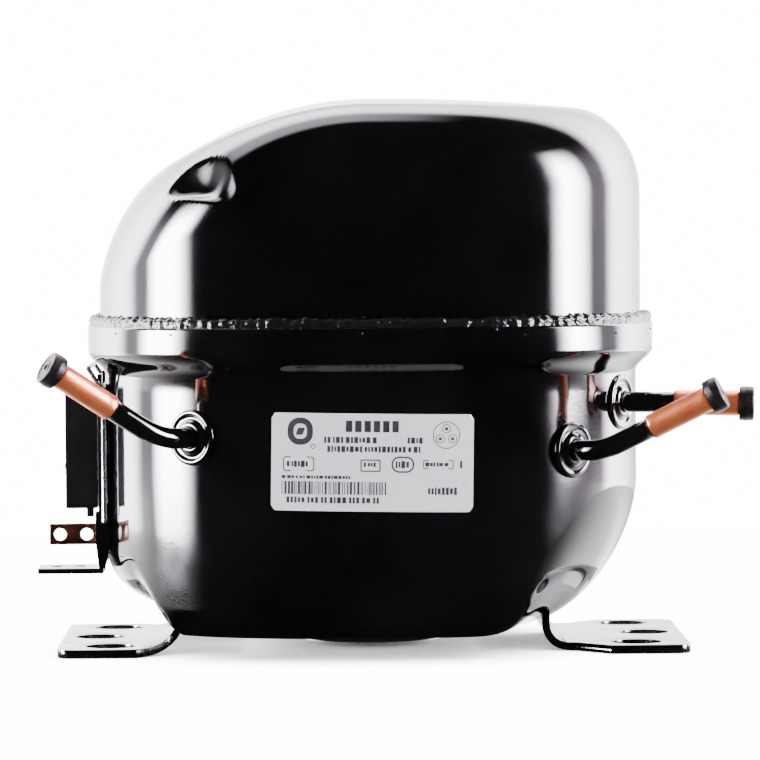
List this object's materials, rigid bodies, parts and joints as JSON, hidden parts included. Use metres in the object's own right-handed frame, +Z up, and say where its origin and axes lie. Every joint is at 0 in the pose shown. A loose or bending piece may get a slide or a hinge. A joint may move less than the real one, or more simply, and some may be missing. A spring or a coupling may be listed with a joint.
{
  "type": "hermetic reciprocating compressor",
  "caption": "Sealed refrigeration compressor: domed black steel shell on two drilled feet, spring-hung motor and crank-driven piston pump inside, capped copper tube ends.",
  "frame": {"origin": "centre of the four-hole mounting pattern, in the plane the feet stand on", "axes": "+X towards the suction tube end, -Y towards the labelled front, +Z up along the crankshaft"},
  "size_m": [0.2258, 0.1696, 0.1742],
  "materials": {
    "shell_paint": "high gloss black stoving paint over pressed steel",
    "weld_paint": "gloss black paint over a rough weld bead",
    "foot_paint": "gloss black paint over bent steel plate",
    "label_film": "silver polyester film, satin",
    "copper": "bare drawn copper, lightly tarnished",
    "winding_wire": "enamelled copper wire, laced",
    "plug_rubber": "matt black moulded rubber",
    "cover_plastic": "matt black moulded plastic",
    "pale_plastic": "pale moulded plastic",
    "dark_plastic": "dark phenolic case",
    "spring_steel": "bright hard-drawn spring steel",
    "tab_brass": "brown toned copper-coloured plate",
    "bronze": "machined bearing bronze",
    "cast_iron": "fine grey casting",
    "machined_steel": "turned and ground steel",
    "zinc_steel": "zinc plated",
    "gasket_card": "pressed fibre gasket",
    "lamination": "stacked electrical steel",
    "cage_aluminium": "die cast"
  },
  "bodies": {
    "shell": {"upper_shell": "shell_paint", "lower_shell": "shell_paint", "weld_bead": "weld_paint", "foot_left": "foot_paint", "foot_right": "foot_paint", "rating_label": "label_film", "suction_collar": "shell_paint", "discharge_collar": "shell_paint", "process_collar": "shell_paint", "suction_tube": "shell_paint", "discharge_tube": "shell_paint", "process_tube": "shell_paint", "suction_stub": "copper", "discharge_stub": "copper", "process_stub": "copper", "terminal_body": "machined_steel", "terminal_pins": "machined_steel", "terminal_bracket": "foot_paint", "earth_tab": "tab_brass", "start_relay": "pale_plastic", "overload_protector": "dark_plastic", "lead_plug": "pale_plastic", "spring_pins": "machined_steel"},
    "cover": {"relay_cover": "cover_plastic"},
    "clip": {"cover_clip": "spring_steel"},
    "suction_cap": {"suction_plug": "plug_rubber"},
    "discharge_cap": {"discharge_plug": "plug_rubber"},
    "process_cap": {"process_plug": "plug_rubber"},
    "pump": {"crankcase": "cast_iron", "cylinder_block": "cast_iron", "main_bearing": "bronze", "thrust_washer": "machined_steel", "cylinder_gasket": "gasket_card", "valve_plate": "machined_steel", "reed_stop": "machined_steel", "head_gasket": "gasket_card", "cylinder_head": "cast_iron", "head_bolts": "zinc_steel", "suction_muffler": "pale_plastic", "discharge_muffler": "cast_iron", "discharge_loop": "copper", "stator_core": "lamination", "upper_winding": "winding_wire", "lower_winding": "winding_wire", "stator_bolts": "zinc_steel", "suspension_springs": "spring_steel"},
    "shaft": {"crankshaft": "machined_steel", "oil_pickup": "machined_steel", "rotor_core": "lamination", "rotor_cage": "cage_aluminium"},
    "slider": {"slider_block": "machined_steel"},
    "gallery": {"gallery_plug": "bronze"},
    "yoke": {"cross_tube": "machined_steel", "piston": "machined_steel"},
    "suction_flap": {"suction_reed": "spring_steel"},
    "discharge_flap": {"discharge_reed": "spring_steel"}
  },
  "joints": [
    {"name": "pump_bounce", "type": "slide", "parent": "shell", "child": "pump", "axis": [0, 0, 1], "range_m": [-0.002, 0.002], "stiffness_N_per_m": 24000, "springref_m": 0.0019, "deforming": ["suspension_springs", "discharge_loop"]},
    {"name": "shaft_spin", "type": "hinge", "parent": "pump", "child": "shaft", "pos_m": [0, 0, 0.1], "axis": [0, 0, 1], "continuous": true},
    {"name": "slider_turn", "type": "hinge", "parent": "shaft", "child": "slider", "pos_m": [0.00735, 0, 0.131], "axis": [0, 0, 1], "continuous": true},
    {"name": "gallery_turn", "type": "hinge", "parent": "shaft", "child": "gallery", "pos_m": [0.00367, 0, 0.131], "axis": [0, 0, 1], "continuous": true},
    {"name": "piston_stroke", "type": "hinge", "parent": "gallery", "child": "yoke", "pos_m": [0.00735, 0, 0.131], "axis": [0, 0, 1], "continuous": true},
    {"name": "suction_flex", "type": "hinge", "parent": "pump", "child": "suction_flap", "pos_m": [0.0498, 0.005, 0.122], "axis": [0, -1, 0], "range_deg": [0, 3], "stiffness_Nm_per_rad": 0.05},
    {"name": "discharge_flex", "type": "hinge", "parent": "pump", "child": "discharge_flap", "pos_m": [0.0532, -0.005, 0.138], "axis": [0, -1, 0], "range_deg": [0, 4], "stiffness_Nm_per_rad": 0.05},
    {"name": "cover_pull", "type": "slide", "parent": "shell", "child": "cover", "axis": [-1, 0, 0], "range_m": [0, 0.03]},
    {"name": "clip_swing", "type": "hinge", "parent": "shell", "child": "clip", "pos_m": [-0.0847, 0, 0.041], "axis": [0, -1, 0], "range_deg": [0, 95]},
    {"name": "suction_cap_pull", "type": "slide", "parent": "shell", "child": "suction_cap", "axis": [0.8794, -0.1699, 0.4447], "range_m": [0, 0.012]},
    {"name": "discharge_cap_pull", "type": "slide", "parent": "shell", "child": "discharge_cap", "axis": [-0.7847, -0.3098, 0.5369], "range_m": [0, 0.012]},
    {"name": "process_cap_pull", "type": "slide", "parent": "shell", "child": "process_cap", "axis": [0.9948, -0.0995, -0.0199], "range_m": [0, 0.012]}
  ],
  "couplings": [
    {"joint": "slider_turn", "follows": "shaft_spin", "ratio": -1},
    {"joint": "gallery_turn", "follows": "shaft_spin", "ratio": -2},
    {"joint": "piston_stroke", "follows": "shaft_spin", "ratio": 1}
  ]
}
